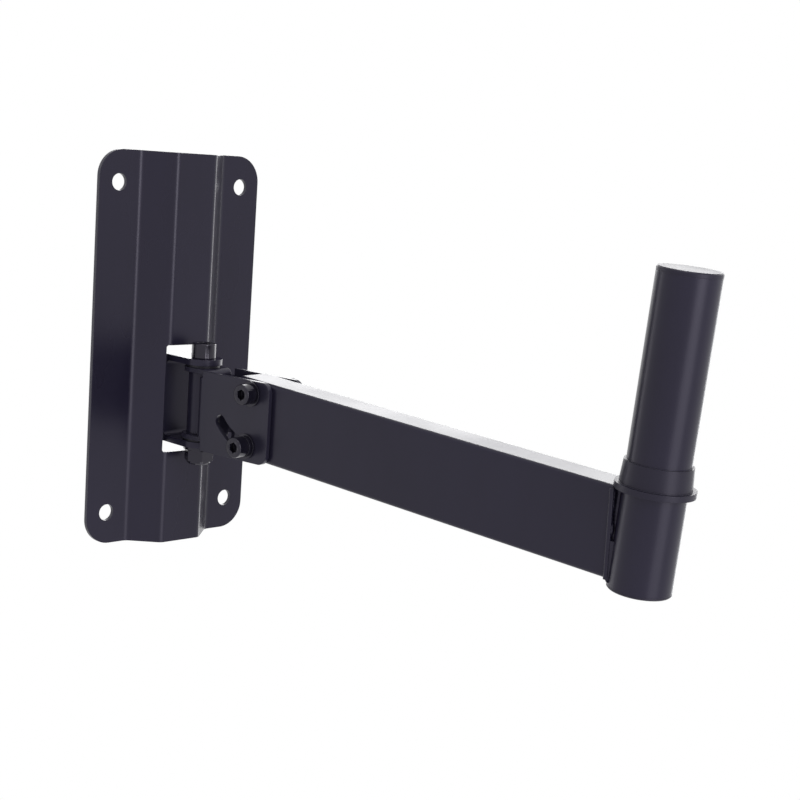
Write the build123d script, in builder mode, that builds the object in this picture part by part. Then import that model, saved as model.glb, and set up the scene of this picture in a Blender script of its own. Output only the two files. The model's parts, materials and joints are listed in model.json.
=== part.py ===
from build123d import *

"""Speaker wall bracket: a folded wall plate, a swivelling and tilting yoke, and a pole arm.

All lengths are millimetres. X runs to the right for someone who faces the wall, the wall's
surface is y = 0 with the bracket on its -Y side, and Z is up. The origin is the middle of the
wall plate's back.

The bracket is three bodies. The wall plate and its hinge bracket stay on the wall. The yoke
swivels about the upright bolt. The arm, with the pole, tilts in the yoke about the upper cross
bolt, and the lower cross bolt rides in the yoke's curved slots and clamps the tilt.

Each body has its own three planes. The yoke's planes meet on the swivel axis, halfway between
the hinge bracket's lugs, and the arm's planes meet in the middle of the tilt bolt.
"""
import os
from math import cos, hypot, radians, sin, tan

# How the bracket stands: the yoke is swivelled to the right and the arm droops a little
swivel_angle = 7.3
tilt_angle = 4.0
tilt_limit_angle = 50.0

# Wall plate: one steel sheet folded to a hat section, a crown between two flanges
plate_width = 128.0
plate_height = 260.0
plate_sheet = 3.0
plate_corner_radius = 17.5
plate_depth = 19.5
crown_width = 31.0
flange_gap = 66.0
plate_bend_radius = 6.0
wall_hole_diameter = 11.0
wall_hole_span_x = 98.0
wall_hole_span_z = 218.0

# Window in the plate's crown, and the hinge bracket that is welded behind it
hinge_height = -32.0
window_width = 34.0
window_height = 72.0
window_corner_radius = 1.5
hinge_sheet = 4.0
hinge_outer_height = 58.8
hinge_lug_width = 25.0
hinge_corner_radius = 3.0
hinge_web_setback = 4.0
pivot_out = 36.0

# Yoke: one sheet folded to two cheeks, a web and two lugs
yoke_sheet = 3.0
yoke_side_gap = 0.3
yoke_bend_radius = 1.5
yoke_web_out = 11.5
yoke_relief = 2.0
yoke_lug_width = 24.0
cheek_reach = 76.0
cheek_drop = 4.8
cheek_corner_radius = 7.0
slot_clearance = 0.3
friction_washer_thickness = 1.6
friction_washer_diameter = 22.0
spacer_diameter = 18.0
spacer_wall = 3.5

# Arm: a rectangular steel tube that tilts about the upper cross bolt
tilt_out = 60.5
tilt_height = 15.5
bolt_span = 34.0
bar_height = 50.8
bar_width = 25.4
bar_wall = 2.0
bar_corner_radius = 2.5
bar_tail = 14.0
bar_end_gap_top = 18.4
bar_end_gap_bottom = 13.9
weld_radius = 1.5
weld_overhang = 0.5
weld_fill_height = 21.4
weld_end_angle = 47.0

# Pole for the speaker's socket, with its collar and its two plastic ends
pole_reach = 282.0
pole_diameter = 35.0
pole_foot_diameter = 35.4
pole_bore = 31.0
pole_above_bar = 116.1
pole_below_bar = 2.8
ring_diameter = 44.0
ring_height = 3.4
sleeve_foot_diameter = 39.4
sleeve_top_diameter = 37.6
sleeve_height = 12.4
sleeve_clearance = 0.1
cap_lip_height = 2.7
plug_lip_height = 1.6
lip_chamfer = 0.7
stopper_depth = 14.0
stopper_wall = 2.0

# M10 fasteners of the swivel
m10_thread = 10.0
m10_hole = 10.1
m10_washer_bore = 10.5
m10_head_diameter = 16.0
m10_head_height = 10.0
m10_key = 8.0
m10_key_depth = 5.0
m10_nut_flats = 17.0
m10_nut_hex_height = 8.2
m10_nut_collar_height = 1.8
m10_nut_collar_diameter = 15.6
m10_washer_diameter = 21.0
m10_washer_thickness = 2.0
swivel_bolt_length = 70.0
swivel_nut_angle = 7.0

# M8 fasteners of the tilt and of its clamp
m8_thread = 8.0
m8_hole = 8.1
m8_washer_bore = 8.4
m8_head_diameter = 13.0
m8_head_height = 8.0
m8_key = 6.0
m8_key_depth = 4.0
m8_nut_flats = 13.0
m8_nut_hex_height = 5.9
m8_nut_collar_height = 2.1
m8_nut_collar_diameter = 12.0
m8_washer_diameter = 16.0
m8_washer_thickness = 1.6
m8_spring_diameter = 13.6
m8_spring_thickness = 2.0
spring_cut_width = 1.2
spring_cut_angle = 25.0
tilt_bolt_length = 45.0
clamp_bolt_length = 50.0
nut_corner_angle = 30.0
head_chamfer = 0.7
tip_chamfer = 0.8

# Heights and depths that follow from the sizes above
crown_face = -plate_depth
flange_face = -plate_sheet
hinge_inner_height = hinge_outer_height - 2 * hinge_sheet
hinge_top = hinge_height + hinge_outer_height / 2
hinge_foot = hinge_height - hinge_outer_height / 2
yoke_top = hinge_inner_height / 2 - friction_washer_thickness
yoke_inner_top = yoke_top - yoke_sheet
cheek_bottom = -yoke_top - cheek_drop
cheek_inner_x = bar_width / 2 + yoke_side_gap
cheek_outer_x = cheek_inner_x + yoke_sheet
bar_axis_z = -bolt_span / 2
bar_top_z = bar_axis_z + bar_height / 2
bar_bottom_z = bar_axis_z - bar_height / 2
pole_top = bar_top_z + pole_above_bar
pole_bottom = bar_bottom_z - pole_below_bar
collar_top = bar_top_z + ring_height + sleeve_height
slot_width = m8_thread + 2 * slot_clearance

# Planes of the yoke and of the arm, as they stand
yoke_place = Location((0, -pivot_out, hinge_height), (0, 0, swivel_angle))
yoke_xy = Plane(yoke_place)
yoke_yz = Plane(yoke_place * Plane.YZ.location)
arm_place = yoke_place * Location((0, -tilt_out, tilt_height), (tilt_angle, 0, 0))
arm_xy = Plane(arm_place)
arm_yz = Plane(arm_place * Plane.YZ.location)
arm_xz = Plane(arm_place * Plane.XZ.location)

# Planes of the cross bolts: each stands on a cheek's outside and faces away from the arm
tilt_near = Plane(yoke_place * Location((-cheek_outer_x, -tilt_out, tilt_height), (0, -90, 0)))
tilt_far = Plane(yoke_place * Location((cheek_outer_x, -tilt_out, tilt_height), (0, 90, 0)))
clamp_near = Plane(arm_place * Location((-cheek_outer_x, 0, -bolt_span), (0, -90, 0)))
clamp_far = Plane(arm_place * Location((cheek_outer_x, 0, -bolt_span), (0, 90, 0)))

os.makedirs("parts", exist_ok=True)


def flat_washer(base, diameter, bore, thickness):
    """A plain ring that stands on the base plane."""
    with BuildPart() as washer:
        with BuildSketch(base):
            Circle(diameter / 2)
            Circle(bore / 2, mode=Mode.SUBTRACT)
        extrude(amount=thickness)
    return washer


def socket_bolt(base, thread, length, head_diameter, head_height, key, key_depth):
    """A socket-head bolt: its head stands on the base plane and its shank goes through it."""
    with BuildPart() as bolt:
        with BuildSketch(base):
            Circle(head_diameter / 2)
        extrude(amount=head_height)
        chamfer(bolt.edges().sort_by(Axis(base.origin, base.z_dir))[-1], head_chamfer)
        with BuildSketch(base):
            Circle(thread / 2)
        extrude(amount=-length)
        chamfer(bolt.edges().sort_by(Axis(base.origin, base.z_dir))[0], tip_chamfer)
        with BuildSketch(base.offset(head_height)):
            RegularPolygon(key / 2, 6, major_radius=False)
        extrude(amount=-key_depth, mode=Mode.SUBTRACT)
    return bolt


def lock_nut(base, flats, thread, hex_height, collar_diameter, collar_height):
    """A hexagon with turned corners and, on top of it, the round collar of the locking ring."""
    corner_radius = flats / 3**0.5
    corner_drop = (corner_radius - flats / 2) * tan(radians(nut_corner_angle))
    profile = Plane(origin=base.origin, x_dir=base.x_dir, z_dir=-base.y_dir)
    with BuildPart() as nut:
        with BuildSketch(base):
            RegularPolygon(flats / 2, 6, major_radius=False)
        extrude(amount=hex_height)
        with BuildSketch(profile):
            with BuildLine():
                Polyline(
                    (0, 0),
                    (flats / 2, 0),
                    (corner_radius, corner_drop),
                    (corner_radius, hex_height - corner_drop),
                    (flats / 2, hex_height),
                    (0, hex_height),
                    close=True,
                )
            make_face()
        revolve(axis=Axis(base.origin, base.z_dir), mode=Mode.INTERSECT)
        with BuildSketch(base.offset(hex_height)):
            Circle(collar_diameter / 2)
        extrude(amount=collar_height)
        chamfer(nut.edges().sort_by(Axis(base.origin, base.z_dir))[-1], collar_height / 2)
        with BuildSketch(base):
            Circle(thread / 2)
        extrude(amount=hex_height + collar_height, mode=Mode.SUBTRACT)
    return nut


# Wall plate: the hat section, cut to its rounded outline, then drilled and windowed
with BuildPart() as wall_plate:
    with BuildSketch(Plane.XY.offset(-plate_height / 2)):
        with BuildLine():
            FilletPolyline(
                (-plate_width / 2, flange_face),
                (-flange_gap / 2, flange_face),
                (-crown_width / 2, crown_face),
                (crown_width / 2, crown_face),
                (flange_gap / 2, flange_face),
                (plate_width / 2, flange_face),
                radius=plate_bend_radius,
            )
            offset(amount=plate_sheet, side=Side.LEFT)
        make_face()
    extrude(amount=plate_height)
    with BuildSketch(Plane.XZ):
        RectangleRounded(plate_width, plate_height, plate_corner_radius)
    extrude(amount=plate_depth, mode=Mode.INTERSECT)
    with BuildSketch(Plane.XZ):
        with GridLocations(wall_hole_span_x, wall_hole_span_z, 2, 2):
            Circle(wall_hole_diameter / 2)
        with Locations((0, hinge_height)):
            RectangleRounded(window_width, window_height, window_corner_radius)
    extrude(amount=plate_depth, mode=Mode.SUBTRACT)
wall_plate.part.label = "wall_plate"
export_step(wall_plate.part, "parts/wall_plate.step")

# Hinge bracket: a web between the plate's sloping walls and two round-ended lugs
slope_run = (flange_gap - crown_width) / 2
slope_depth = plate_depth - plate_sheet
slope_sheet_x = plate_sheet * hypot(slope_run, slope_depth) / slope_depth
hinge_web_face = crown_face + plate_sheet + hinge_web_setback
hinge_web_back = hinge_web_face + hinge_sheet
face_half_width = crown_width / 2 + (hinge_web_face - crown_face) * slope_run / slope_depth - slope_sheet_x
back_half_width = crown_width / 2 + (hinge_web_back - crown_face) * slope_run / slope_depth - slope_sheet_x

with BuildPart() as hinge_bracket:
    with BuildSketch(Plane.XY.offset(hinge_height)):
        with BuildLine():
            Polyline(
                (-face_half_width, hinge_web_face),
                (face_half_width, hinge_web_face),
                (back_half_width, hinge_web_back),
                (-back_half_width, hinge_web_back),
                close=True,
            )
        make_face()
    extrude(amount=hinge_outer_height / 2)
    with BuildSketch(Plane.XY.offset(hinge_top)):
        with Locations((0, -pivot_out)):
            Rectangle(hinge_lug_width, pivot_out + hinge_web_face, align=(Align.CENTER, Align.MIN))
            Circle(hinge_lug_width / 2)
            Circle(m10_hole / 2, mode=Mode.SUBTRACT)
    extrude(amount=-hinge_sheet)
    inner_corner = hinge_bracket.edges().filter_by(Axis.X).filter_by_position(
        Axis.Z, hinge_top - hinge_sheet - 0.01, hinge_top - hinge_sheet + 0.01
    )
    fillet(inner_corner.sort_by(Axis.Y)[-1], hinge_corner_radius)
    mirror(about=Plane.XY.offset(hinge_height))
hinge_bracket.part.label = "hinge_bracket"
export_step(hinge_bracket.part, "parts/hinge_bracket.step")

# Yoke: cheeks and web folded in plan, cut to the cheeks' outline, and lugs folded to the wall
web_front = -yoke_web_out - yoke_sheet
relief_y = web_front - yoke_relief
relief_z = yoke_inner_top - yoke_bend_radius
with BuildPart() as yoke:
    with BuildSketch(yoke_xy.offset(cheek_bottom)):
        with BuildLine():
            FilletPolyline(
                (-cheek_inner_x, -cheek_reach),
                (-cheek_inner_x, web_front),
                (cheek_inner_x, web_front),
                (cheek_inner_x, -cheek_reach),
                radius=yoke_bend_radius,
            )
            offset(amount=yoke_sheet, side=Side.LEFT)
        make_face()
    extrude(amount=yoke_top - cheek_bottom)
    with BuildSketch(yoke_yz.offset(-cheek_outer_x)) as cheek_outline:
        with BuildLine():
            Polyline(
                (-yoke_web_out, relief_z),
                (relief_y, relief_z),
                (relief_y, yoke_top),
                (-cheek_reach, yoke_top),
                (-cheek_reach, cheek_bottom),
                (relief_y, cheek_bottom),
                (relief_y, -relief_z),
                (-yoke_web_out, -relief_z),
                close=True,
            )
        make_face()
        fillet(cheek_outline.vertices().group_by(Axis.X)[0], cheek_corner_radius)
    extrude(amount=2 * cheek_outer_x, mode=Mode.INTERSECT)
    with BuildSketch(yoke_yz.offset(-yoke_lug_width / 2)):
        with BuildLine():
            FilletPolyline(
                (yoke_lug_width / 2, yoke_inner_top),
                (-yoke_web_out, yoke_inner_top),
                (-yoke_web_out, -yoke_inner_top),
                (yoke_lug_width / 2, -yoke_inner_top),
                radius=yoke_bend_radius,
            )
            offset(amount=yoke_sheet, side=Side.RIGHT)
        make_face()
    extrude(amount=yoke_lug_width)
    with BuildSketch(yoke_xy.offset(-yoke_top)):
        Rectangle(yoke_lug_width, yoke_lug_width / 2, align=(Align.CENTER, Align.MIN))
        Circle(yoke_lug_width / 2, mode=Mode.SUBTRACT)
        Circle(m10_hole / 2)
    extrude(amount=2 * yoke_top, mode=Mode.SUBTRACT)
    with BuildSketch(yoke_yz.offset(-cheek_outer_x)):
        with Locations((-tilt_out, tilt_height)):
            Circle(m8_hole / 2)
        with BuildLine(mode=Mode.PRIVATE) as slot_path:
            CenterArc((-tilt_out, tilt_height), bolt_span, -90, tilt_limit_angle)
        SlotArc(slot_path.edges()[0], slot_width)
    extrude(amount=2 * cheek_outer_x, mode=Mode.SUBTRACT)
yoke.part.label = "yoke"
export_step(yoke.part, "parts/yoke.step")

# Spacer: it keeps the yoke's lugs apart when the swivel bolt is pulled tight
with BuildPart() as spacer_tube:
    with BuildSketch(yoke_xy.offset(-yoke_inner_top)):
        Circle(spacer_diameter / 2)
        Circle(spacer_diameter / 2 - spacer_wall, mode=Mode.SUBTRACT)
    extrude(amount=2 * yoke_inner_top)
spacer_tube.part.label = "spacer_tube"
export_step(spacer_tube.part, "parts/spacer_tube.step")

# Friction washers: one between each pair of lugs
upper_seat = Plane((0, -pivot_out, hinge_height + yoke_top))
upper_friction_washer = flat_washer(
    upper_seat, friction_washer_diameter, m10_washer_bore, friction_washer_thickness
)
upper_friction_washer.part.label = "upper_friction_washer"
export_step(upper_friction_washer.part, "parts/upper_friction_washer.step")

lower_seat = Plane((0, -pivot_out, hinge_foot + hinge_sheet))
lower_friction_washer = flat_washer(
    lower_seat, friction_washer_diameter, m10_washer_bore, friction_washer_thickness
)
lower_friction_washer.part.label = "lower_friction_washer"
export_step(lower_friction_washer.part, "parts/lower_friction_washer.step")

# Swivel bolt: its head stands on the upper lug, its washer and nut hang under the lower one
bolt_seat = Plane((0, -pivot_out, hinge_top))
swivel_bolt = socket_bolt(
    bolt_seat,
    m10_thread,
    swivel_bolt_length,
    m10_head_diameter,
    m10_head_height,
    m10_key,
    m10_key_depth,
)
swivel_bolt.part.label = "swivel_bolt"
export_step(swivel_bolt.part, "parts/swivel_bolt.step")

nut_heading = (cos(radians(swivel_nut_angle)), sin(radians(swivel_nut_angle)), 0)
washer_seat = Plane(origin=(0, -pivot_out, hinge_foot), x_dir=nut_heading, z_dir=(0, 0, -1))
swivel_washer = flat_washer(washer_seat, m10_washer_diameter, m10_washer_bore, m10_washer_thickness)
swivel_washer.part.label = "swivel_washer"
export_step(swivel_washer.part, "parts/swivel_washer.step")

swivel_nut = lock_nut(
    washer_seat.offset(m10_washer_thickness),
    m10_nut_flats,
    m10_thread,
    m10_nut_hex_height,
    m10_nut_collar_diameter,
    m10_nut_collar_height,
)
swivel_nut.part.label = "swivel_nut"
export_step(swivel_nut.part, "parts/swivel_nut.step")

# Tilt bolt: it stays in the yoke, and the arm turns about it
tilt_washer_near = flat_washer(tilt_near, m8_washer_diameter, m8_washer_bore, m8_washer_thickness)
tilt_washer_near.part.label = "tilt_washer_near"
export_step(tilt_washer_near.part, "parts/tilt_washer_near.step")

tilt_bolt = socket_bolt(
    tilt_near.offset(m8_washer_thickness),
    m8_thread,
    tilt_bolt_length,
    m8_head_diameter,
    m8_head_height,
    m8_key,
    m8_key_depth,
)
tilt_bolt.part.label = "tilt_bolt"
export_step(tilt_bolt.part, "parts/tilt_bolt.step")

tilt_washer_far = flat_washer(tilt_far, m8_washer_diameter, m8_washer_bore, m8_washer_thickness)
tilt_washer_far.part.label = "tilt_washer_far"
export_step(tilt_washer_far.part, "parts/tilt_washer_far.step")

tilt_nut = lock_nut(
    tilt_far.offset(m8_washer_thickness),
    m8_nut_flats,
    m8_thread,
    m8_nut_hex_height,
    m8_nut_collar_diameter,
    m8_nut_collar_height,
)
tilt_nut.part.label = "tilt_nut"
export_step(tilt_nut.part, "parts/tilt_nut.step")

# Clamp bolt: it goes with the arm, and its washers press on the cheeks beside the slots
clamp_washer_near = flat_washer(clamp_near, m8_washer_diameter, m8_washer_bore, m8_washer_thickness)
clamp_washer_near.part.label = "clamp_washer_near"
export_step(clamp_washer_near.part, "parts/clamp_washer_near.step")

spring_seat = clamp_near.offset(m8_washer_thickness)
spring_middle = spring_seat.offset(m8_spring_thickness / 2)
spring_cut_plane = Plane(origin=spring_middle.origin, x_dir=spring_seat.y_dir, z_dir=spring_seat.x_dir)
with BuildPart() as clamp_spring_washer:
    with BuildSketch(spring_seat):
        Circle(m8_spring_diameter / 2)
        Circle(m8_washer_bore / 2, mode=Mode.SUBTRACT)
    extrude(amount=m8_spring_thickness)
    with BuildSketch(spring_cut_plane):
        Rectangle(spring_cut_width, 2 * m8_spring_thickness, rotation=-spring_cut_angle)
    extrude(amount=m8_spring_diameter, mode=Mode.SUBTRACT)
clamp_spring_washer.part.label = "clamp_spring_washer"
export_step(clamp_spring_washer.part, "parts/clamp_spring_washer.step")

clamp_bolt = socket_bolt(
    spring_seat.offset(m8_spring_thickness),
    m8_thread,
    clamp_bolt_length,
    m8_head_diameter,
    m8_head_height,
    m8_key,
    m8_key_depth,
)
clamp_bolt.part.label = "clamp_bolt"
export_step(clamp_bolt.part, "parts/clamp_bolt.step")

clamp_washer_far = flat_washer(clamp_far, m8_washer_diameter, m8_washer_bore, m8_washer_thickness)
clamp_washer_far.part.label = "clamp_washer_far"
export_step(clamp_washer_far.part, "parts/clamp_washer_far.step")

clamp_nut = lock_nut(
    clamp_far.offset(m8_washer_thickness),
    m8_nut_flats,
    m8_thread,
    m8_nut_hex_height,
    m8_nut_collar_diameter,
    m8_nut_collar_height,
)
clamp_nut.part.label = "clamp_nut"
export_step(clamp_nut.part, "parts/clamp_nut.step")

# Bar: the outer shape of the tube, with a slanted end that leaves room for the weld
bar_end_profile = (
    (-pole_reach + bar_end_gap_top, bar_top_z),
    (-pole_reach + bar_end_gap_bottom, bar_bottom_z),
    (-pole_reach, bar_bottom_z),
    (-pole_reach, bar_top_z),
)
with BuildPart() as bar_envelope:
    with BuildSketch(arm_xz.offset(-bar_tail)):
        with Locations((0, bar_axis_z)):
            RectangleRounded(bar_width, bar_height, bar_corner_radius)
    extrude(amount=bar_tail + pole_reach)
    with BuildSketch(arm_yz.offset(-bar_width / 2)):
        with BuildLine():
            Polyline(*bar_end_profile, close=True)
        make_face()
    extrude(amount=bar_width, mode=Mode.SUBTRACT)

with BuildPart() as arm_bar:
    add(bar_envelope.part)
    with BuildSketch(arm_xz.offset(-bar_tail)):
        with Locations((0, bar_axis_z)):
            RectangleRounded(
                bar_width - 2 * bar_wall,
                bar_height - 2 * bar_wall,
                bar_corner_radius - bar_wall,
            )
    extrude(amount=bar_tail + pole_reach, mode=Mode.SUBTRACT)
    with BuildSketch(arm_xy.offset(bar_bottom_z)):
        with Locations((0, -pole_reach)):
            Circle(pole_foot_diameter / 2)
    extrude(amount=bar_height, mode=Mode.SUBTRACT)
    with BuildSketch(arm_yz.offset(-bar_width / 2)):
        with Locations((0, 0), (0, -bolt_span)):
            Circle(m8_hole / 2)
    extrude(amount=bar_width, mode=Mode.SUBTRACT)
arm_bar.part.label = "arm_bar"
export_step(arm_bar.part, "parts/arm_bar.step")

# Pole: a round tube, drawn down to the socket's size above the collar
pole_section = arm_xz.offset(pole_reach)
pole_axis = Axis(pole_section.origin, pole_section.y_dir)
with BuildPart() as pole_tube:
    with BuildSketch(arm_xy.offset(pole_bottom)):
        with Locations((0, -pole_reach)):
            Circle(pole_foot_diameter / 2)
    extrude(amount=collar_top - pole_bottom)
    with BuildSketch(arm_xy.offset(collar_top)):
        with Locations((0, -pole_reach)):
            Circle(pole_diameter / 2)
    extrude(amount=pole_top - collar_top)
    with BuildSketch(arm_xy.offset(pole_bottom)):
        with Locations((0, -pole_reach)):
            Circle(pole_bore / 2)
    extrude(amount=pole_top - pole_bottom, mode=Mode.SUBTRACT)
pole_tube.part.label = "pole_tube"
export_step(pole_tube.part, "parts/pole_tube.step")

# Weld: a bead down each side of the bar's end, the filling in the lower part of the gap, and
# an arc-shaped bead under the bar
bead_foot = arm_xy.from_local_coords((-bar_width / 2, -pole_reach + bar_end_gap_bottom, bar_bottom_z))
bead_head = arm_xy.from_local_coords((-bar_width / 2, -pole_reach + bar_end_gap_top, bar_top_z))
bead_line = bead_head - bead_foot
fill_slope = (bar_end_gap_top - bar_end_gap_bottom) / bar_height
fill_top_z = bar_bottom_z + weld_fill_height
with BuildPart() as pole_weld:
    with BuildSketch(Plane(origin=bead_foot, z_dir=bead_line)):
        Circle(weld_radius)
    extrude(amount=bead_line.length - weld_radius)
    with BuildSketch(arm_yz.offset(-bar_width / 2 - weld_overhang)):
        with BuildLine():
            Polyline(
                (-pole_reach + bar_end_gap_bottom, bar_bottom_z),
                (-pole_reach, bar_bottom_z),
                (-pole_reach, fill_top_z),
                (-pole_reach + bar_end_gap_bottom + fill_slope * weld_fill_height, fill_top_z),
                close=True,
            )
        make_face()
    extrude(amount=bar_width / 2 + weld_overhang)
    with BuildLine(arm_xy.offset(bar_bottom_z)) as underside_path:
        CenterArc((0, -pole_reach), pole_foot_diameter / 2, 90, weld_end_angle)
    with BuildSketch(Plane(origin=underside_path.line @ 0, z_dir=underside_path.line % 0)):
        Circle(weld_radius)
    sweep()
    mirror(about=arm_yz)
    add(bar_envelope.part, mode=Mode.SUBTRACT)
    with BuildSketch(arm_xy.offset(pole_bottom)):
        with Locations((0, -pole_reach)):
            Circle(pole_foot_diameter / 2)
    extrude(amount=pole_top - pole_bottom, mode=Mode.SUBTRACT)
pole_weld.part.label = "pole_weld"
export_step(pole_weld.part, "parts/pole_weld.step")

# Collar: a ring that rests on the bar, in one piece with a tapering sleeve
collar_bore_radius = pole_foot_diameter / 2 + sleeve_clearance
with BuildPart() as collar:
    with BuildSketch(pole_section):
        with BuildLine():
            Polyline(
                (collar_bore_radius, bar_top_z),
                (ring_diameter / 2, bar_top_z),
                (ring_diameter / 2, bar_top_z + ring_height),
                (sleeve_foot_diameter / 2, bar_top_z + ring_height),
                (sleeve_top_diameter / 2, collar_top),
                (collar_bore_radius, collar_top),
                close=True,
            )
        make_face()
    revolve(axis=pole_axis)
collar.part.label = "collar"
export_step(collar.part, "parts/collar.step")

# Cap: a lip as wide as the pole, and a hollow stopper that sits in its bore
with BuildPart() as pole_cap:
    with BuildSketch(arm_xy.offset(pole_top)):
        with Locations((0, -pole_reach)):
            Circle(pole_diameter / 2)
    extrude(amount=cap_lip_height)
    chamfer(pole_cap.edges().sort_by(pole_axis)[-1], lip_chamfer)
    with BuildSketch(arm_xy.offset(pole_top)):
        with Locations((0, -pole_reach)):
            Circle(pole_bore / 2)
            Circle(pole_bore / 2 - stopper_wall, mode=Mode.SUBTRACT)
    extrude(amount=-stopper_depth)
pole_cap.part.label = "pole_cap"
export_step(pole_cap.part, "parts/pole_cap.step")

# Plug: the same at the pole's foot, with a thinner lip
with BuildPart() as pole_plug:
    with BuildSketch(arm_xy.offset(pole_bottom)):
        with Locations((0, -pole_reach)):
            Circle(pole_foot_diameter / 2)
    extrude(amount=-plug_lip_height)
    chamfer(pole_plug.edges().sort_by(pole_axis)[0], lip_chamfer)
    with BuildSketch(arm_xy.offset(pole_bottom)):
        with Locations((0, -pole_reach)):
            Circle(pole_bore / 2)
            Circle(pole_bore / 2 - stopper_wall, mode=Mode.SUBTRACT)
    extrude(amount=stopper_depth)
pole_plug.part.label = "pole_plug"
export_step(pole_plug.part, "parts/pole_plug.step")
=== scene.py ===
"""Looks of a black speaker wall bracket: coated steel, black fasteners and moulded plastic.

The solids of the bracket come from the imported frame. This script dresses every one of them,
and adds the shapes that are too fine for them: threads, knurled heads and the rippled weld.
Sizes in the bracket's classes are millimetres, and meshes are written in metres. The studio
round the bracket is in metres.
"""
from __future__ import annotations

import json
import logging
import math
from dataclasses import dataclass, field
from enum import Enum

import bmesh
import bpy
import numpy as np
from mathutils import Matrix, Vector

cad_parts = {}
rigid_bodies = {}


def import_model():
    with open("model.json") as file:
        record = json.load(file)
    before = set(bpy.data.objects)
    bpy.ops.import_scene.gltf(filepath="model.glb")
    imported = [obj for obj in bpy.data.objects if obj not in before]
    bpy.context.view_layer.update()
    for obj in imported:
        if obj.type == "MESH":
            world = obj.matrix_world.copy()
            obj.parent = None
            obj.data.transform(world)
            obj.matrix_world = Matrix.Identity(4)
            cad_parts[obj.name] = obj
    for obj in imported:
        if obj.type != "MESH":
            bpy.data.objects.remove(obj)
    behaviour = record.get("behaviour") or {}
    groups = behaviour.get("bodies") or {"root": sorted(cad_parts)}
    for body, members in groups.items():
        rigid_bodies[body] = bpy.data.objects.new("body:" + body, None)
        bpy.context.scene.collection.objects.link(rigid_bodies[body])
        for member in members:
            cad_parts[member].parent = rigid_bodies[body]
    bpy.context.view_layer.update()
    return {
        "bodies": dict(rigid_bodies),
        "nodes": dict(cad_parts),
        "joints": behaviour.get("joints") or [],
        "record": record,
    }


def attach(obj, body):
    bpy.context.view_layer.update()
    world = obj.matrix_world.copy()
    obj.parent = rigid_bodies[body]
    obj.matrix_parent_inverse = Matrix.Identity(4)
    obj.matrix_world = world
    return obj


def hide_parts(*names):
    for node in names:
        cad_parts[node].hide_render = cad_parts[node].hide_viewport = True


LOG = logging.getLogger("speaker_bracket")
MILLIMETRE = 0.001
MERGE_DISTANCE = 1e-6
SHORTEST_EDGE = 1e-7
Colour = tuple[float, float, float]
Spot = tuple[float, float, float]


class Body(Enum):
    """The bodies of the bracket, by their names in the frame."""

    WALL_MOUNT = "wall_mount"
    YOKE = "yoke"
    ARM = "arm"


# Places


@dataclass(frozen=True)
class Place:
    """A right-handed frame: an origin and three unit axes, as rows."""

    origin: np.ndarray
    axes: np.ndarray

    def points(self, local: np.ndarray) -> np.ndarray:
        """Carry points from this frame to the bracket's frame.

        Each is the origin plus every coordinate times its axis.

        Args:
            local: Points in this frame, in millimetres, with the last axis of length three.

        Returns:
            The same points in the bracket's frame, in millimetres.
        """
        return self.origin + local @ self.axes

    def child(self, origin: Spot, turn: np.ndarray) -> Place:
        """Make a frame that stands in this one.

        Args:
            origin: The new frame's origin in this frame.
            turn: The new frame's axes in this frame, as rows.

        Returns:
            The new frame, seen from the bracket.
        """
        return Place(self.points(np.array(origin, float)), turn @ self.axes)


def turn_about(axis: int, degrees: float) -> np.ndarray:
    """Axes of a frame turned about one of its parent's axes.

    Args:
        axis: 0, 1 or 2 for X, Y or Z.
        degrees: The turn, by the right-hand rule.

    Returns:
        Three unit axes, as rows.
    """
    angle = math.radians(degrees)
    first, second = (axis + 1) % 3, (axis + 2) % 3
    axes = np.eye(3)
    axes[first, first] = axes[second, second] = math.cos(angle)
    axes[first, second] = math.sin(angle)
    axes[second, first] = -math.sin(angle)
    return axes


@dataclass(frozen=True)
class Stance:
    """How the bracket stands, with the frames of its hinge, its yoke and its arm."""

    pivot_out: float = 36.0
    hinge_height: float = -32.0
    swivel: float = 7.3
    tilt: float = 4.0
    tilt_out: float = 60.5
    tilt_height: float = 15.5

    def wall(self) -> Place:
        """The frame of the hinge: on the swivel axis, halfway between the lugs."""
        return Place(np.array([0.0, -self.pivot_out, self.hinge_height]), np.eye(3))

    def yoke(self) -> Place:
        """The yoke's frame: the hinge's frame, turned by the swivel."""
        return self.wall().child((0.0, 0.0, 0.0), turn_about(2, self.swivel))

    def arm(self) -> Place:
        """The arm's frame: in the middle of the tilt bolt, turned by the tilt."""
        return self.yoke().child((0.0, -self.tilt_out, self.tilt_height), turn_about(0, self.tilt))


# Meshes


def mesh_from_rings(name: str, grid: np.ndarray) -> bpy.types.Mesh:
    """Make a mesh of quads from a grid of points whose rows are closed rings.

    Point (i, j) is joined with (i + 1, j) and (i, j + 1), and the last column with the first.

    Args:
        name: The mesh's name.
        grid: Points in millimetres, of shape (rows, columns, 3).

    Returns:
        The mesh, in metres.
    """
    rows, columns = grid.shape[:2]
    index = np.arange(rows * columns).reshape(rows, columns)
    across = np.roll(index, -1, axis=1)
    quads = np.stack([index[:-1], across[:-1], across[1:], index[1:]], axis=-1).reshape(-1, 4)
    mesh = bpy.data.meshes.new(name)
    mesh.vertices.add(rows * columns)
    mesh.vertices.foreach_set("co", (grid.reshape(-1) * MILLIMETRE).astype(np.float32))
    mesh.loops.add(quads.size)
    mesh.loops.foreach_set("vertex_index", quads.reshape(-1).astype(np.int32))
    mesh.polygons.add(len(quads))
    mesh.polygons.foreach_set("loop_start", np.arange(0, quads.size, 4, dtype=np.int32))
    mesh.update(calc_edges=True)
    mesh.validate()
    return mesh


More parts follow.
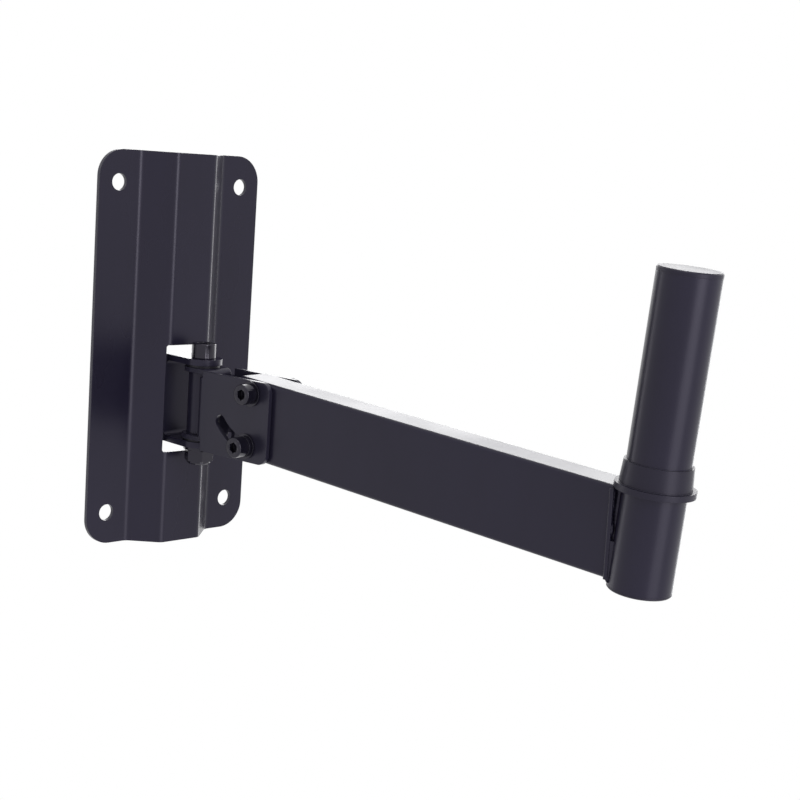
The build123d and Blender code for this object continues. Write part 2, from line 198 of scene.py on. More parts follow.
def joined(name: str, meshes: list[bpy.types.Mesh], body: Body, sharp: float) -> bpy.types.Object:
    """Join meshes into one piece, merge its doubles and turn its faces outwards.

    Args:
        name: The piece's name.
        meshes: The meshes to join; they are removed.
        body: The body that the piece rides on.
        sharp: The angle in degrees over which an edge stays sharp.

    Returns:
        The finished piece, with smooth faces.
    """
    work = bmesh.new()
    for mesh in meshes:
        work.from_mesh(mesh)
        bpy.data.meshes.remove(mesh)
    bmesh.ops.remove_doubles(work, verts=work.verts, dist=MERGE_DISTANCE)
    bmesh.ops.dissolve_degenerate(work, dist=SHORTEST_EDGE, edges=work.edges)
    bmesh.ops.recalc_face_normals(work, faces=work.faces)
    mesh = bpy.data.meshes.new(name)
    work.to_mesh(mesh)
    work.free()
    mesh.polygons.foreach_set("use_smooth", np.ones(len(mesh.polygons), bool))
    mesh.set_sharp_from_angle(angle=math.radians(sharp))
    piece = bpy.data.objects.new(name, mesh)
    bpy.context.scene.collection.objects.link(piece)
    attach(piece, body.value)
    return piece


def turned_grid(place: Place, radius: np.ndarray, height: np.ndarray) -> np.ndarray:
    """Points of a turned shape whose radius may change round the axis.

    A point at angle a and row i stands at radius[i, a] from the axis and at height[i, a] on it.

    Args:
        place: The frame whose third axis is the turning axis.
        radius: Radii in millimetres, of shape (rows, columns).
        height: Heights in millimetres, of the same shape.

    Returns:
        The grid of points, of shape (rows, columns, 3).
    """
    angle = np.linspace(0.0, 2.0 * np.pi, radius.shape[1], endpoint=False)[None, :]
    local = np.stack([radius * np.cos(angle), radius * np.sin(angle), height], axis=-1)
    return place.points(local)


# Shader nodes


class Bench:
    """A small helper that adds and links nodes in one node tree."""

    def __init__(self, tree: bpy.types.NodeTree) -> None:
        """Keep the tree that nodes are added to."""
        self.tree = tree

    def add(self, kind: str, **values: object) -> bpy.types.Node:
        """Add a node and set its attributes.

        Args:
            kind: The node's type name.
            **values: Attributes of the node, such as an operation.

        Returns:
            The node.
        """
        node = self.tree.nodes.new(kind)
        for key, value in values.items():
            setattr(node, key, value)
        return node

    def link(self, out: bpy.types.NodeSocket, into: bpy.types.NodeSocket) -> None:
        """Link one socket to another."""
        self.tree.links.new(out, into)

    def maths(self, operation: str, first: object, second: object) -> bpy.types.NodeSocket:
        """Add a Math node.

        Args:
            operation: The node's operation.
            first: Its first input, a socket or a number.
            second: Its second input, a socket or a number.

        Returns:
            The node's output.
        """
        node = self.add("ShaderNodeMath", operation=operation)
        for socket, value in zip(node.inputs, (first, second)):
            if isinstance(value, bpy.types.NodeSocket):
                self.link(value, socket)
            else:
                socket.default_value = float(value)
        return node.outputs[0]


class SurfaceGroups:
    """The shader groups that several finishes share, each built once."""

    def __init__(self) -> None:
        """Build the groups."""
        self.grain = self._grain()
        self.handling = self._handling()

    @staticmethod
    def _sockets(
        tree: bpy.types.NodeTree, inputs: dict[str, float], outputs: tuple[str, ...]
    ) -> None:
        """Give a group its named inputs, with their values, and its named outputs."""
        for name, value in inputs.items():
            socket = tree.interface.new_socket(
                name, in_out="INPUT", socket_type="NodeSocketFloat"
            )
            socket.default_value = value
        for name in outputs:
            tree.interface.new_socket(name, in_out="OUTPUT", socket_type="NodeSocketFloat")

    def _grain(self) -> bpy.types.NodeTree:
        """Fine texture of a coat or a moulding.

        The height is a coarse noise for the orange peel plus a share of a fine noise for the
        grain, each with its own density in bumps per metre.

        Returns:
            The group.
        """
        tree = bpy.data.node_groups.new("surface_grain", "ShaderNodeTree")
        inputs = {"Peel Density": 420.0, "Grain Density": 2600.0, "Grain Share": 0.35}
        self._sockets(tree, inputs, ("Height",))
        bench = Bench(tree)
        into = bench.add("NodeGroupInput")
        out = bench.add("NodeGroupOutput")
        coord = bench.add("ShaderNodeTexCoord")
        peel = bench.add("ShaderNodeTexNoise", noise_dimensions="3D")
        peel.inputs["Detail"].default_value = 1.0
        grain = bench.add("ShaderNodeTexNoise", noise_dimensions="3D")
        grain.inputs["Detail"].default_value = 3.0
        bench.link(coord.outputs["Object"], peel.inputs["Vector"])
        bench.link(coord.outputs["Object"], grain.inputs["Vector"])
        bench.link(into.outputs["Peel Density"], peel.inputs["Scale"])
        bench.link(into.outputs["Grain Density"], grain.inputs["Scale"])
        fine = bench.maths("MULTIPLY", grain.outputs["Fac"], into.outputs["Grain Share"])
        bench.link(bench.maths("ADD", peel.outputs["Fac"], fine), out.inputs["Height"])
        return tree

    def _handling(self) -> bpy.types.NodeTree:
        """Soft clouds of sheen, as hands and packing leave on a dark coat.

        The mask is a wide noise in four sizes, stretched along the height and spread over its
        middle values. Sheen is the roughness: its base value moved up and down by the mask.

        Returns:
            The group.
        """
        tree = bpy.data.node_groups.new("handling_sheen", "ShaderNodeTree")
        inputs = {"Cloud Density": 14.0, "Roughness": 0.4, "Spread": 0.08}
        self._sockets(tree, inputs, ("Mask", "Sheen"))
        bench = Bench(tree)
        into = bench.add("NodeGroupInput")
        out = bench.add("NodeGroupOutput")
        coord = bench.add("ShaderNodeTexCoord")
        mapping = bench.add("ShaderNodeMapping")
        mapping.inputs["Scale"].default_value = (1.0, 1.0, 0.45)
        clouds = bench.add("ShaderNodeTexNoise", noise_dimensions="3D")
        clouds.inputs["Detail"].default_value = 4.0
        clouds.inputs["Roughness"].default_value = 0.55
        bench.link(coord.outputs["Object"], mapping.inputs["Vector"])
        bench.link(mapping.outputs["Vector"], clouds.inputs["Vector"])
        bench.link(into.outputs["Cloud Density"], clouds.inputs["Scale"])
        ramp = bench.add("ShaderNodeMapRange")
        ramp.inputs["From Min"].default_value = 0.35
        ramp.inputs["From Max"].default_value = 0.65
        bench.link(clouds.outputs["Fac"], ramp.inputs["Value"])
        mask = ramp.outputs["Result"]
        centred = bench.maths("SUBTRACT", mask, 0.5)
        moved = bench.maths("MULTIPLY", centred, into.outputs["Spread"])
        sheen = bench.maths("ADD", moved, into.outputs["Roughness"])
        bench.link(mask, out.inputs["Mask"])
        bench.link(sheen, out.inputs["Sheen"])
        return tree


# Finishes


@dataclass(frozen=True)
class Finish:
    """A finish of one kind of surface, from which its material is made.

    The colour goes between two tones with the handling mask, the roughness follows the same
    clouds, and the grain's height goes to a bump over softly rounded edges.
    """

    name: str
    slot: str
    tone: Colour
    bloom: Colour
    roughness: float = 0.4
    spread: float = 0.08
    specular: float = 0.5
    mirror_tint: Colour = (0.88, 0.84, 1.0)
    edge_radius: float = 0.5
    edge_samples: int = 6
    peel_density: float = 420.0
    grain_density: float = 2600.0
    grain_share: float = 0.35
    bump_distance: float = 0.02
    bump_strength: float = 0.35

    def material(self, groups: SurfaceGroups) -> bpy.types.Material:
        """Build the material.

        Args:
            groups: The shared shader groups.

        Returns:
            The material, with all of its detail worked out from object coordinates.
        """
        material = bpy.data.materials.new(self.name)
        material.use_nodes = True
        material.node_tree.nodes.clear()
        bench = Bench(material.node_tree)
        out = bench.add("ShaderNodeOutputMaterial")
        shader = bench.add("ShaderNodeBsdfPrincipled")
        shader.inputs["Specular IOR Level"].default_value = self.specular
        shader.inputs["Specular Tint"].default_value = (*self.mirror_tint, 1.0)
        bench.link(shader.outputs["BSDF"], out.inputs["Surface"])
        self._colour_and_sheen(bench, groups, shader)
        self._relief(bench, groups, shader)
        return material

    def _colour_and_sheen(
        self, bench: Bench, groups: SurfaceGroups, shader: bpy.types.Node
    ) -> None:
        """Feed the shader's colour and roughness from the clouds of handling."""
        handling = bench.add("ShaderNodeGroup", node_tree=groups.handling)
        handling.inputs["Roughness"].default_value = self.roughness
        handling.inputs["Spread"].default_value = self.spread
        bench.link(handling.outputs["Sheen"], shader.inputs["Roughness"])
        colour = bench.add("ShaderNodeMix", data_type="RGBA")
        colour.inputs["A"].default_value = (*self.tone, 1.0)
        colour.inputs["B"].default_value = (*self.bloom, 1.0)
        bench.link(handling.outputs["Mask"], colour.inputs["Factor"])
        bench.link(colour.outputs["Result"], shader.inputs["Base Color"])

    def _relief(self, bench: Bench, groups: SurfaceGroups, shader: bpy.types.Node) -> None:
        """Feed the shader's normal from the grain, over rounded edges."""
        grain = bench.add("ShaderNodeGroup", node_tree=groups.grain)
        grain.inputs["Peel Density"].default_value = self.peel_density
        grain.inputs["Grain Density"].default_value = self.grain_density
        grain.inputs["Grain Share"].default_value = self.grain_share
        edges = bench.add("ShaderNodeBevel", samples=self.edge_samples)
        edges.inputs["Radius"].default_value = self.edge_radius * MILLIMETRE
        bump = bench.add("ShaderNodeBump")
        bump.inputs["Strength"].default_value = self.bump_strength
        bump.inputs["Distance"].default_value = self.bump_distance * MILLIMETRE
        bench.link(grain.outputs["Height"], bump.inputs["Height"])
        bench.link(edges.outputs["Normal"], bump.inputs["Normal"])
        bench.link(bump.outputs["Normal"], shader.inputs["Normal"])


COATED_STEEL = Finish(
    name="black_powder_coat",
    slot="coated_steel",
    tone=(0.0125, 0.0108, 0.0230),
    bloom=(0.0165, 0.0145, 0.0300),
    roughness=0.30,
    spread=0.05,
    specular=0.33,
)
PLATE_COAT = Finish(
    name="black_plate_coat",
    slot="coated_steel",
    tone=(0.0086, 0.0072, 0.0175),
    bloom=(0.0114, 0.0096, 0.0226),
    roughness=0.28,
    spread=0.05,
    specular=0.37,
)
# The yoke's coat is the same black powder coat, painted a little lighter so the yoke's cheeks show
# brighter: painted light, not a different coat.
YOKE_COAT_PAINTED_LIGHT = Finish(
    name="black_coat_painted_lighter",
    slot="coated_steel",
    tone=(0.0185, 0.0168, 0.0300),
    bloom=(0.0235, 0.0215, 0.0375),
    roughness=0.30,
    spread=0.05,
    specular=0.34,
)
BLACK_FASTENER = Finish(
    name="black_oxide",
    slot="black_fastener",
    tone=(0.0065, 0.0058, 0.0110),
    bloom=(0.0090, 0.0080, 0.0140),
    roughness=0.13,
    spread=0.04,
    specular=0.47,
    edge_radius=0.35,
    bump_strength=0.12,
)
BLACK_PLASTIC = Finish(
    name="moulded_plastic",
    slot="black_plastic",
    tone=(0.0125, 0.0110, 0.0210),
    bloom=(0.0160, 0.0142, 0.0260),
    roughness=0.38,
    specular=0.32,
    edge_radius=0.4,
    peel_density=900.0,
    grain_density=4200.0,
    bump_strength=0.4,
)
FRICTION_PLASTIC = Finish(
    name="smooth_nylon",
    slot="friction_plastic",
    tone=(0.006, 0.006, 0.008),
    bloom=(0.010, 0.010, 0.012),
    roughness=0.42,
    specular=0.40,
    edge_radius=0.2,
    bump_strength=0.1,
)


class Paintbox:
    """The materials, each made once from its finish."""

    def __init__(self) -> None:
        """Build the shared groups and start with no materials."""
        self.groups = SurfaceGroups()
        self.made: dict[str, bpy.types.Material] = {}

    def get(self, finish: Finish) -> bpy.types.Material:
        """Return the material of a finish, and make it the first time."""
        if finish.name not in self.made:
            self.made[finish.name] = finish.material(self.groups)
        return self.made[finish.name]


# Pieces that scene.py adds


@dataclass
class SocketBolt:
    """A socket-head bolt with a knurled head, a hexagonal socket and a rolled thread.

    Heights are counted from the head's seat, upwards to the head and downwards to the tip.
    """

    name: str
    node: str
    body: Body
    seat: Place
    thread: float
    pitch: float
    length: float
    thread_length: float
    head_diameter: float
    head_height: float
    key: float
    key_depth: float
    knurls: int = 36
    columns: int = 144
    knurl_depth: float = 0.10
    knurl_below_top: float = 1.15
    knurl_above_seat: float = 0.75
    rim_radius: float = 0.9
    rim_rows: int = 5
    foot_edge: float = 0.55
    foot_bevel: float = 0.2
    mouth_share: float = 0.6
    mouth_bevel: float = 0.35
    thread_depth_share: float = 0.61
    flank_gain: float = 1.25
    crest_flat: float = 0.1
    run_in: float = 0.05
    tip_length: float = 0.9
    rows_per_pitch: int = 6
    sharp_angle: float = 32.0

    def _rows(self, *rows: tuple[object, object]) -> np.ndarray:
        """Spread radii and heights, each a number or a row, to shape (rows, 2, columns)."""
        return np.array([[np.broadcast_to(value, self.columns) for value in row] for row in rows])

    def _head(self, angle: np.ndarray) -> np.ndarray:
        """Work out the socket and the head.

        Rows go from the socket's floor out to its six-sided wall, up and over the head's rim,
        and down the knurled side to the seat. The socket's radius is half the key divided by
        the cosine of the angle to the nearest flat. The rim is a quarter circle. The knurl
        takes a cosine of the angle off the head.

        Args:
            angle: The angle of each column.

        Returns:
            Radii and heights, of shape (rows, 2, columns).
        """
        top = self.head_height
        floor = top - self.key_depth
        head = self.head_diameter / 2.0
        flat = np.mod(angle, np.pi / 3.0) - np.pi / 6.0
        hexagon = self.key / 2.0 / np.cos(flat)
        knurled = head - self.knurl_depth * (0.5 - 0.5 * np.cos(self.knurls * angle))
        rim = [
            (
                head - self.rim_radius + self.rim_radius * math.sin(step),
                top - self.rim_radius + self.rim_radius * math.cos(step),
            )
            for step in np.linspace(0.0, np.pi / 2.0, self.rim_rows)
        ]
        return self._rows(
            (0.0, floor),
            (hexagon, floor),
            (hexagon, top - self.mouth_bevel),
            (np.maximum(hexagon, self.key * self.mouth_share), top),
            *rim,
            (knurled, top - self.knurl_below_top),
            (knurled, self.knurl_above_seat),
            (head, self.foot_edge),
            (head - self.foot_bevel, 0.0),
        )

    def _shank(self, angle: np.ndarray) -> np.ndarray:
        """Work out the shank, from the seat to the closed tip.

        The thread takes a triangle wave off the shank, clipped flat at crest and root. Its
        phase is the height over the pitch less the angle over a full turn, and its depth grows
        over the first pitch.

        Args:
            angle: The angle of each column.

        Returns:
            Radii and heights, of shape (rows, 2, columns).
        """
        shank = self.thread / 2.0
        start = -(self.length - self.thread_length)
        depth = self.thread_depth_share * self.pitch
        count = int(self.thread_length / self.pitch * self.rows_per_pitch)
        height = np.linspace(start - self.run_in, -self.length + self.tip_length, count)[:, None]
        phase = np.mod(height / self.pitch - angle / (2.0 * np.pi), 1.0)
        wave = 1.0 - np.abs(2.0 * phase - 1.0)
        grow = np.minimum(1.0, (start - height) / self.pitch)
        radius = shank - depth * grow * np.clip(wave * self.flank_gain - self.crest_flat, 0.0, 1.0)
        threaded = np.stack([radius, np.broadcast_to(height, radius.shape)], axis=1)
        tip = self._rows((shank - depth, -self.length), (0.0, -self.length))
        return np.concatenate([self._rows((shank, 0.0), (shank, start)), threaded, tip])

    def build(self) -> bpy.types.Object:
        """Build the bolt as one closed surface, turned round the seat's third axis."""
        angle = np.linspace(0.0, 2.0 * np.pi, self.columns, endpoint=False)
        profile = np.concatenate([self._head(angle), self._shank(angle)])
        grid = turned_grid(self.seat, profile[:, 0], profile[:, 1])
        mesh = mesh_from_rings(self.name, grid)
        return joined(self.name, [mesh], self.body, self.sharp_angle)


@dataclass
class PoleWeld:
    """The rippled beads on the weld between the bar's slanted end and the pole.

    Places are in the arm's frame, where the pole's axis stands at pole_reach. Each side has a
    thin edge bead down the bar's end, whose line wanders a little, and a flat root bead that
    closes the wedge between the bar and the round pole. One more bead follows the pole round
    the bar's underside.
    """

    arm: Place
    bar_middle: float
    bar_width: float = 25.4
    bar_height: float = 50.8
    pole_reach: float = 282.0
    pole_radius: float = 17.7
    end_gap_top: float = 18.4
    end_gap_foot: float = 13.9
    ring_columns: int = 20
    side_rows: int = 170
    side_lift: float = 0.3
    side_shorter: float = 1.2
    side_ripple: float = 2.3
    side_end_power: int = 24
    swell_knots: int = 10
    swell_least: float = 0.8
    swell_most: float = 1.15
    wander_knots: int = 12
    wander_most: float = 0.75
    wander_window: int = 7
    edge_radius: float = 1.3
    edge_width_share: float = 1.15
    edge_valley: float = 0.86
    edge_relief: float = 0.16
    edge_inset: float = 0.55
    edge_forward: float = 0.35
    root_depth: float = 2.9
    root_sink: float = 0.6
    root_thickness: float = 1.5
    root_valley: float = 0.92
    root_relief: float = 0.08
    root_least_gap: float = 0.3
    root_overlap: float = 1.6
    root_least_thickness: float = 0.3
    under_rows: int = 120
    under_half_angle: float = 46.0
    under_radius: float = 1.2
    under_relief: float = 0.2
    under_drop: float = 0.15
    under_ripple: float = 2.1
    under_end_power: int = 20
    sharp_angle: float = 60.0
    seed: int = 7

    @property
    def foot(self) -> float:
        """The height of the bar's underside."""
        return self.bar_middle - self.bar_height / 2.0

    @staticmethod
    def _ripple(along: np.ndarray, pitch: float) -> np.ndarray:
        """Ripples of weld: a cosine between nought and one, once per pitch along the bead."""
        return 0.5 + 0.5 * np.cos(2.0 * np.pi * along / pitch)

    @staticmethod
    def _knotted(share: np.ndarray, knots: np.ndarray) -> np.ndarray:
        """A line of straight stretches through knots spread evenly over the shares 0 to 1."""
        return np.interp(share * (len(knots) - 1.0), np.arange(len(knots)), knots)

    @staticmethod
    def _ends(share: np.ndarray, power: int) -> np.ndarray:
        """One along the bead and nought at both ends: root of 1 - share ** power, from -1 to 1."""
        return np.sqrt(np.clip(1.0 - share**power, 0.0, 1.0))

    def _bead(
        self, path: np.ndarray, wide: np.ndarray, thick: np.ndarray, guide: Spot
    ) -> bpy.types.Mesh:
        """A bead of weld along a path.

        Round each point of the path stands an oval ring, square to the path. It reaches wide
        square to the guide, and thick along it, so a ring of nought closes an end in a point.

        Args:
            path: Points in the arm's frame, of shape (n, 3).
            wide: The ring's half width at each point.
            thick: The ring's half thickness at each point.
            guide: The direction in which the bead's thickness is measured.

        Returns:
            The bead's mesh.
        """
        heading = np.gradient(path, axis=0)
        heading /= np.linalg.norm(heading, axis=1, keepdims=True)
        out = np.cross(heading, np.array(guide))
        out /= np.linalg.norm(out, axis=1, keepdims=True)
        side = np.cross(out, heading)
        angle = np.linspace(0.0, 2.0 * np.pi, self.ring_columns, endpoint=False)[None, :, None]
        ring = (
            out[:, None, :] * (np.cos(angle) * wide[:, None, None])
            + side[:, None, :] * (np.sin(angle) * thick[:, None, None])
        )
        return mesh_from_rings("bead", self.arm.points(path[:, None, :] + ring))

    def _side_beads(self, side: float, random: np.random.Generator) -> list[bpy.types.Mesh]:
        """The edge bead and the root bead of one side.

        The gap between the pole's axis and the bar's end grows evenly with the height. The
        wander is a line through random knots, smoothed by a moving mean, and the swell is a
        line through random knots too. A bead's thickness is its radius times the swell, times
        the valley's share plus the ripple's relief. The root bead stands halfway between the
        bar's end and the pole's wall at its depth, and reaches past both.

        Args:
            side: -1 or 1 for the near or the far side of the bar.
            random: The source of the wander and the swell.

        Returns:
            The two meshes.
        """
        share = np.linspace(0.0, 1.0, self.side_rows)
        top = self.bar_middle + self.bar_height / 2.0
        height = self.foot + self.side_lift + share * (top - self.foot - self.side_shorter)
        gap_change = self.end_gap_top - self.end_gap_foot
        gap = self.end_gap_foot + (height - self.foot) / self.bar_height * gap_change

        knots = random.uniform(-self.wander_most, self.wander_most, self.wander_knots)
        padded = np.pad(self._knotted(share, knots), self.wander_window // 2, mode="edge")
        wander = np.convolve(padded, np.ones(self.wander_window) / self.wander_window, mode="valid")
        knots = random.uniform(self.swell_least, self.swell_most, self.swell_knots)
        swell = self._knotted(share, knots)
        ripple = self._ripple(height, self.side_ripple)
        ends = self._ends(2.0 * share - 1.0, self.side_end_power)
        level = np.ones(self.side_rows)
        across_bar = (1.0, 0.0, 0.0)

        radius = self.edge_radius * swell * (self.edge_valley + self.edge_relief * ripple) * ends
        across = side * (self.bar_width / 2.0 - self.edge_inset) * level
        reach = -self.pole_reach + gap - self.edge_forward + wander
        path = np.stack([across, reach, height], axis=1)
        edge = self._bead(path, radius * self.edge_width_share, radius, across_bar)

        depth = self.bar_width / 2.0 - self.root_depth
        wall = math.sqrt(self.pole_radius**2 - depth**2)
        half_gap = np.clip(gap - wall, self.root_least_gap, None) / 2.0
        relief = self.root_valley + self.root_relief * ripple
        thick = self.root_thickness * relief * swell * ends
        wide = (half_gap + self.root_overlap) / np.maximum(thick, self.root_least_thickness)
        across = side * (depth - self.root_sink) * level
        path = np.stack([across, -self.pole_reach + wall + half_gap, height], axis=1)
        return [edge, self._bead(path, thick * wide, thick, across_bar)]

    def _under_bead(self) -> bpy.types.Mesh:
        """The bead under the bar: an arc round the pole's foot, whose radius ripples."""
        start, end = 90.0 - self.under_half_angle, 90.0 + self.under_half_angle
        angle = np.radians(np.linspace(start, end, self.under_rows))
        ripple = self._ripple(angle * self.pole_radius, self.under_ripple)
        ends = self._ends(np.linspace(-1.0, 1.0, self.under_rows), self.under_end_power)
        radius = (self.under_radius + self.under_relief * ripple) * ends
        across = self.pole_radius * np.cos(angle)
        reach = -self.pole_reach + self.pole_radius * np.sin(angle)
        path = np.stack([across, reach, np.full(self.under_rows, self.foot - self.under_drop)], axis=1)
        return self._bead(path, radius, radius, (0.0, 0.0, 1.0))

    def build(self) -> bpy.types.Object:
        """Build the beads of both sides and the one underneath as one piece."""
        random = np.random.default_rng(self.seed)
        meshes = [mesh for side in (-1.0, 1.0) for mesh in self._side_beads(side, random)]
        meshes.append(self._under_bead())
        return joined("weld_ripples", meshes, Body.ARM, self.sharp_angle)


# Sub-assemblies


@dataclass
class Assembly:
    """A sub-assembly: the nodes that it dresses and the pieces that it adds."""

    paint: Paintbox
    frame: dict
    stance: Stance = field(default_factory=Stance)

    def dress(self, finish: Finish, *names: str) -> None:
        """Give CAD nodes a finish; their meshes stay as they are.

        Args:
            finish: The finish.
            *names: The nodes' names.
        """
        for name in names:
            node = self.frame["nodes"][name]
            node.data.materials.clear()
            node.data.materials.append(self.paint.get(finish))
            LOG.info("dressed %s with %s", name, finish.name)

    def place_piece(self, piece: bpy.types.Object, finish: Finish, *replaced: str) -> None:
        """Finish a new piece: its material and the nodes that it stands for.

        Args:
            piece: The new piece.
            finish: Its finish.
            *replaced: The names of the CAD nodes that it replaces, if any.
        """
        piece.data.materials.append(self.paint.get(finish))
        if replaced:
            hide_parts(*replaced)
        LOG.info("built %s with %d faces", piece.name, len(piece.data.polygons))


@dataclass
class WallMount(Assembly):
    """The folded wall plate with its hinge bracket and the upright bolt."""

    hinge_outer_height: float = 58.8

    def build(self) -> None:
        """Dress the plate and the hinge, and build the upright bolt."""
        self.dress(PLATE_COAT, "wall_plate")
        self.dress(COATED_STEEL, "hinge_bracket")
        self.dress(FRICTION_PLASTIC, "upper_friction_washer", "lower_friction_washer")
        self.dress(BLACK_FASTENER, "swivel_bolt", "swivel_washer", "swivel_nut")
        seat = self.stance.wall().child((0.0, 0.0, self.hinge_outer_height / 2.0), np.eye(3))
        bolt = SocketBolt(
            "swivel_bolt_threaded",
            "swivel_bolt",
            Body.WALL_MOUNT,
            seat,
            thread=10.0,
            pitch=1.5,
            length=70.0,
            thread_length=26.0,
            head_diameter=16.0,
            head_height=10.0,
            key=8.0,
            key_depth=5.0,
            knurls=42,
            columns=168,
        )
        self.place_piece(bolt.build(), BLACK_FASTENER, bolt.node)


@dataclass
class CrossBolted(Assembly):
    """A sub-assembly with one of the two bolts that go across the yoke's cheeks."""

    cheek_outer_x: float = 16.0
    washer_thickness: float = 1.6

    def head_seat(self, place: Place, y: float, z: float, spring: float = 0.0) -> Place:
        """The seat of a cross bolt's head, on its washers outside the near cheek.

        Args:
            place: The yoke's or the arm's frame.
            y: The seat's place along the yoke.
            z: Its height.
            spring: The thickness of a spring washer under the head.

        Returns:
            A frame whose third axis points out of the cheek.
        """
        x = -self.cheek_outer_x - self.washer_thickness - spring
        return place.child((x, y, z), turn_about(1, -90.0))

    def cross_bolt(
        self, node: str, body: Body, seat: Place, length: float, thread_length: float
    ) -> None:
        """Build one of the two bolts, which share a thread and a head, in place of its node.

        Args:
            node: The CAD bolt's name.
            body: The body that the bolt rides on.
            seat: The frame of the head's seat.
            length: The bolt's length under its head.
            thread_length: The length of its thread.
        """
        bolt = SocketBolt(
            f"{node}_threaded",
            node,
            body,
            seat,
            thread=8.0,
            pitch=1.25,
            length=length,
            thread_length=thread_length,
            head_diameter=13.0,
            head_height=8.0,
            key=6.0,
            key_depth=4.0,
        )
        self.place_piece(bolt.build(), BLACK_FASTENER, bolt.node)


@dataclass
class Yoke(CrossBolted):
    """The folded yoke with its spacer and the tilt bolt."""

    def build(self) -> None:
        """Dress the yoke and its small parts, and build the tilt bolt."""
        # The yoke takes the coat painted lighter, as painted light on its lit cheeks.
        self.dress(YOKE_COAT_PAINTED_LIGHT, "yoke")
        self.dress(COATED_STEEL, "spacer_tube")
        self.dress(
            BLACK_FASTENER, "tilt_bolt", "tilt_washer_near", "tilt_washer_far", "tilt_nut"
        )
        stance = self.stance
        seat = self.head_seat(stance.yoke(), -stance.tilt_out, stance.tilt_height)
        self.cross_bolt("tilt_bolt", Body.YOKE, seat, length=45.0, thread_length=14.0)


@dataclass
class Arm(CrossBolted):
    """The arm with its pole, collar, weld and clamp bolt."""

    spring_thickness: float = 2.0
    bolt_span: float = 34.0

    def build(self) -> None:
        """Dress the arm, and build its weld and its clamp bolt."""
        self.dress(COATED_STEEL, "arm_bar", "pole_tube", "pole_weld")
        self.dress(BLACK_PLASTIC, "collar", "pole_cap", "pole_plug")
        self.dress(BLACK_FASTENER, "clamp_bolt", "clamp_nut")
        self.dress(BLACK_FASTENER, "clamp_spring_washer", "clamp_washer_near", "clamp_washer_far")
        arm = self.stance.arm()
        self.place_piece(PoleWeld(arm, bar_middle=-self.bolt_span / 2.0).build(), COATED_STEEL)
        seat = self.head_seat(arm, 0.0, -self.bolt_span, self.spring_thickness)
        self.cross_bolt("clamp_bolt", Body.ARM, seat, length=50.0, thread_length=16.0)


# Studio


@dataclass(frozen=True)
class SoftLight:
    """A soft rectangular lamp that looks at the bracket."""

    name: str
    place: Spot
    size: tuple[float, float]
    power: float
    aim: Spot = (0.0, -0.2, 0.0)

    def build(self) -> None:
        """Hang the lamp."""
        lamp = bpy.data.lights.new(self.name, "AREA")
        lamp.shape = "RECTANGLE"
        lamp.size, lamp.size_y = self.size
        lamp.energy = self.power
        holder = bpy.data.objects.new(self.name, lamp)
        heading = Vector(self.aim) - Vector(self.place)
        turn = heading.to_track_quat("-Z", "Y").to_matrix().to_4x4()
        holder.matrix_world = Matrix.Translation(self.place) @ turn
        bpy.context.scene.collection.objects.link(holder)


LAMPS: tuple[SoftLight, ...] = (
    SoftLight("front_box", (-0.2, -2.3, 0.66), (0.85, 1.6), 20.0),
    SoftLight("front_low", (-0.2, -2.3, -0.5), (1.2, 0.9), 5.0),
    SoftLight("right_box", (2.12, 0.4, 0.1), (0.9, 2.0), 13.0),
    SoftLight("left_back", (-0.50, 1.95, 0.1), (0.9, 1.6), 5.5),
    SoftLight("back_sweep", (1.6, 1.5, 0.42), (1.8, 0.7), 14.5, aim=(0.0, -0.2, -0.02)),
    SoftLight("overhead", (-0.6, -0.6, 2.2), (1.2, 1.2), 8.0),
)


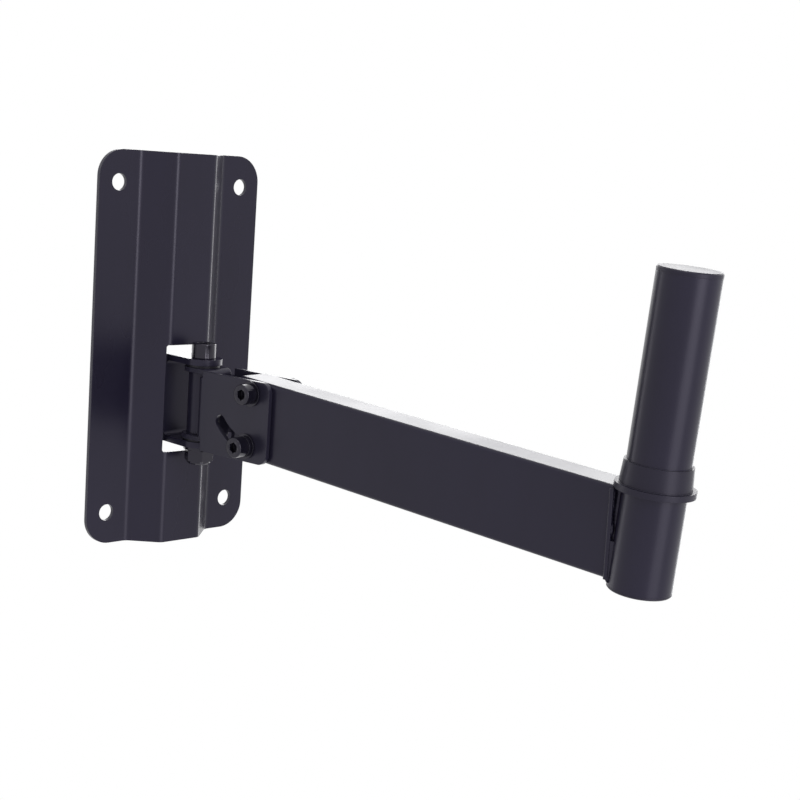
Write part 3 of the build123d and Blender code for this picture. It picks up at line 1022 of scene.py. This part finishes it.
@dataclass
class Studio:
    """Camera, lamps, white surroundings and floor."""

    image_pixels: float = 800.0
    focal_pixels: float = 1550.501
    sensor_width: float = 36.0
    far_clip: float = 50.0
    yaw: float = -44.447
    pitch: float = 8.861
    roll: float = 3.972
    eye: Spot = (-616.782, -852.424, 136.582)
    room_light: Colour = (0.95, 0.96, 1.0)
    room_strength: float = 0.4
    floor_tone: Colour = (0.86, 0.86, 0.87)
    floor_side: float = 12.0
    floor_height: float = -1.1

    def camera(self) -> None:
        """Set the camera at the photograph's viewing angle; its eye is in millimetres.

        Straight ahead is +Y turned by the yaw about Z and then down by the pitch. The picture's
        right and up are turned about that line by the roll.
        """
        yaw, pitch, roll = (math.radians(a) for a in (self.yaw, self.pitch, self.roll))
        level_share = math.cos(pitch)
        ahead = Vector(
            (-math.sin(yaw) * level_share, math.cos(yaw) * level_share, -math.sin(pitch))
        )
        level = Vector((math.cos(yaw), math.sin(yaw), 0.0))
        above = level.cross(ahead)
        right = level * math.cos(roll) + above * math.sin(roll)
        up = above * math.cos(roll) - level * math.sin(roll)
        turn = Matrix((right, up, -ahead)).transposed().to_4x4()
        data = bpy.data.cameras.new("photo_camera")
        data.sensor_fit = "HORIZONTAL"
        data.sensor_width = self.sensor_width
        data.lens = self.focal_pixels / self.image_pixels * self.sensor_width
        data.clip_end = self.far_clip
        camera = bpy.data.objects.new("photo_camera", data)
        camera.matrix_world = Matrix.Translation(Vector(self.eye) * MILLIMETRE) @ turn
        bpy.context.scene.collection.objects.link(camera)
        bpy.context.scene.camera = camera

    @staticmethod
    def _white_to_look_at(
        bench: Bench,
        output: str,
        usual: bpy.types.NodeSocket,
        white: bpy.types.NodeSocket,
    ) -> None:
        """Show white to rays from the camera, a mirror or glass, and the usual to the others.

        Args:
            bench: The tree's helper.
            output: The type of the output node that the two shaders go to.
            usual: The shader that gives light to the scene.
            white: The shader that is seen.
        """
        path = bench.add("ShaderNodeLightPath")
        shown = bench.maths("MAXIMUM", path.outputs["Is Camera Ray"], path.outputs["Is Glossy Ray"])
        shown = bench.maths("MAXIMUM", shown, path.outputs["Is Transmission Ray"])
        mix = bench.add("ShaderNodeMixShader")
        bench.link(shown, mix.inputs["Fac"])
        bench.link(usual, mix.inputs[1])
        bench.link(white, mix.inputs[2])
        bench.link(mix.outputs["Shader"], bench.add(output).inputs["Surface"])

    def world(self) -> None:
        """White for the eye and for reflections, and a softer white as light."""
        world = bpy.data.worlds.new("white_room")
        bpy.context.scene.world = world
        world.use_nodes = True
        world.node_tree.nodes.clear()
        bench = Bench(world.node_tree)
        light = bench.add("ShaderNodeBackground")
        light.inputs["Color"].default_value = (*self.room_light, 1.0)
        light.inputs["Strength"].default_value = self.room_strength
        seen = bench.add("ShaderNodeBackground")
        seen.inputs["Color"].default_value = (1.0, 1.0, 1.0, 1.0)
        seen.inputs["Strength"].default_value = 1.0
        shaders = light.outputs["Background"], seen.outputs["Background"]
        self._white_to_look_at(bench, "ShaderNodeOutputWorld", *shaders)

    def floor(self) -> None:
        """A plain pale floor, far below, that looks as white as the room."""
        corners = [
            (x * self.floor_side, y * self.floor_side, self.floor_height)
            for x, y in ((-1, -1), (1, -1), (1, 1), (-1, 1))
        ]
        mesh = bpy.data.meshes.new("floor")
        mesh.from_pydata(corners, [], [(0, 1, 2, 3)])
        floor = bpy.data.objects.new("floor", mesh)
        bpy.context.scene.collection.objects.link(floor)
        material = bpy.data.materials.new("pale_floor")
        material.use_nodes = True
        material.node_tree.nodes.clear()
        bench = Bench(material.node_tree)
        matt = bench.add("ShaderNodeBsdfDiffuse")
        matt.inputs["Color"].default_value = (*self.floor_tone, 1.0)
        white = bench.add("ShaderNodeEmission")
        white.inputs["Strength"].default_value = 1.0
        shaders = matt.outputs["BSDF"], white.outputs["Emission"]
        self._white_to_look_at(bench, "ShaderNodeOutputMaterial", *shaders)
        floor.data.materials.append(material)

    def build(self) -> None:
        """Set the colour view, the camera, the surroundings and the lamps."""
        bpy.context.scene.view_settings.view_transform = "Standard"
        self.camera()
        self.world()
        self.floor()
        for lamp in LAMPS:
            lamp.build()
        LOG.info("studio is ready")


def main() -> None:
    """Load the frame, build the studio, and dress and build each sub-assembly."""
    logging.basicConfig(level=logging.INFO, format="%(name)s: %(message)s")
    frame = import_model()
    paint = Paintbox()
    Studio().build()
    for assembly in (WallMount(paint, frame), Yoke(paint, frame), Arm(paint, frame)):
        assembly.build()


if __name__ == "__main__":
    main()
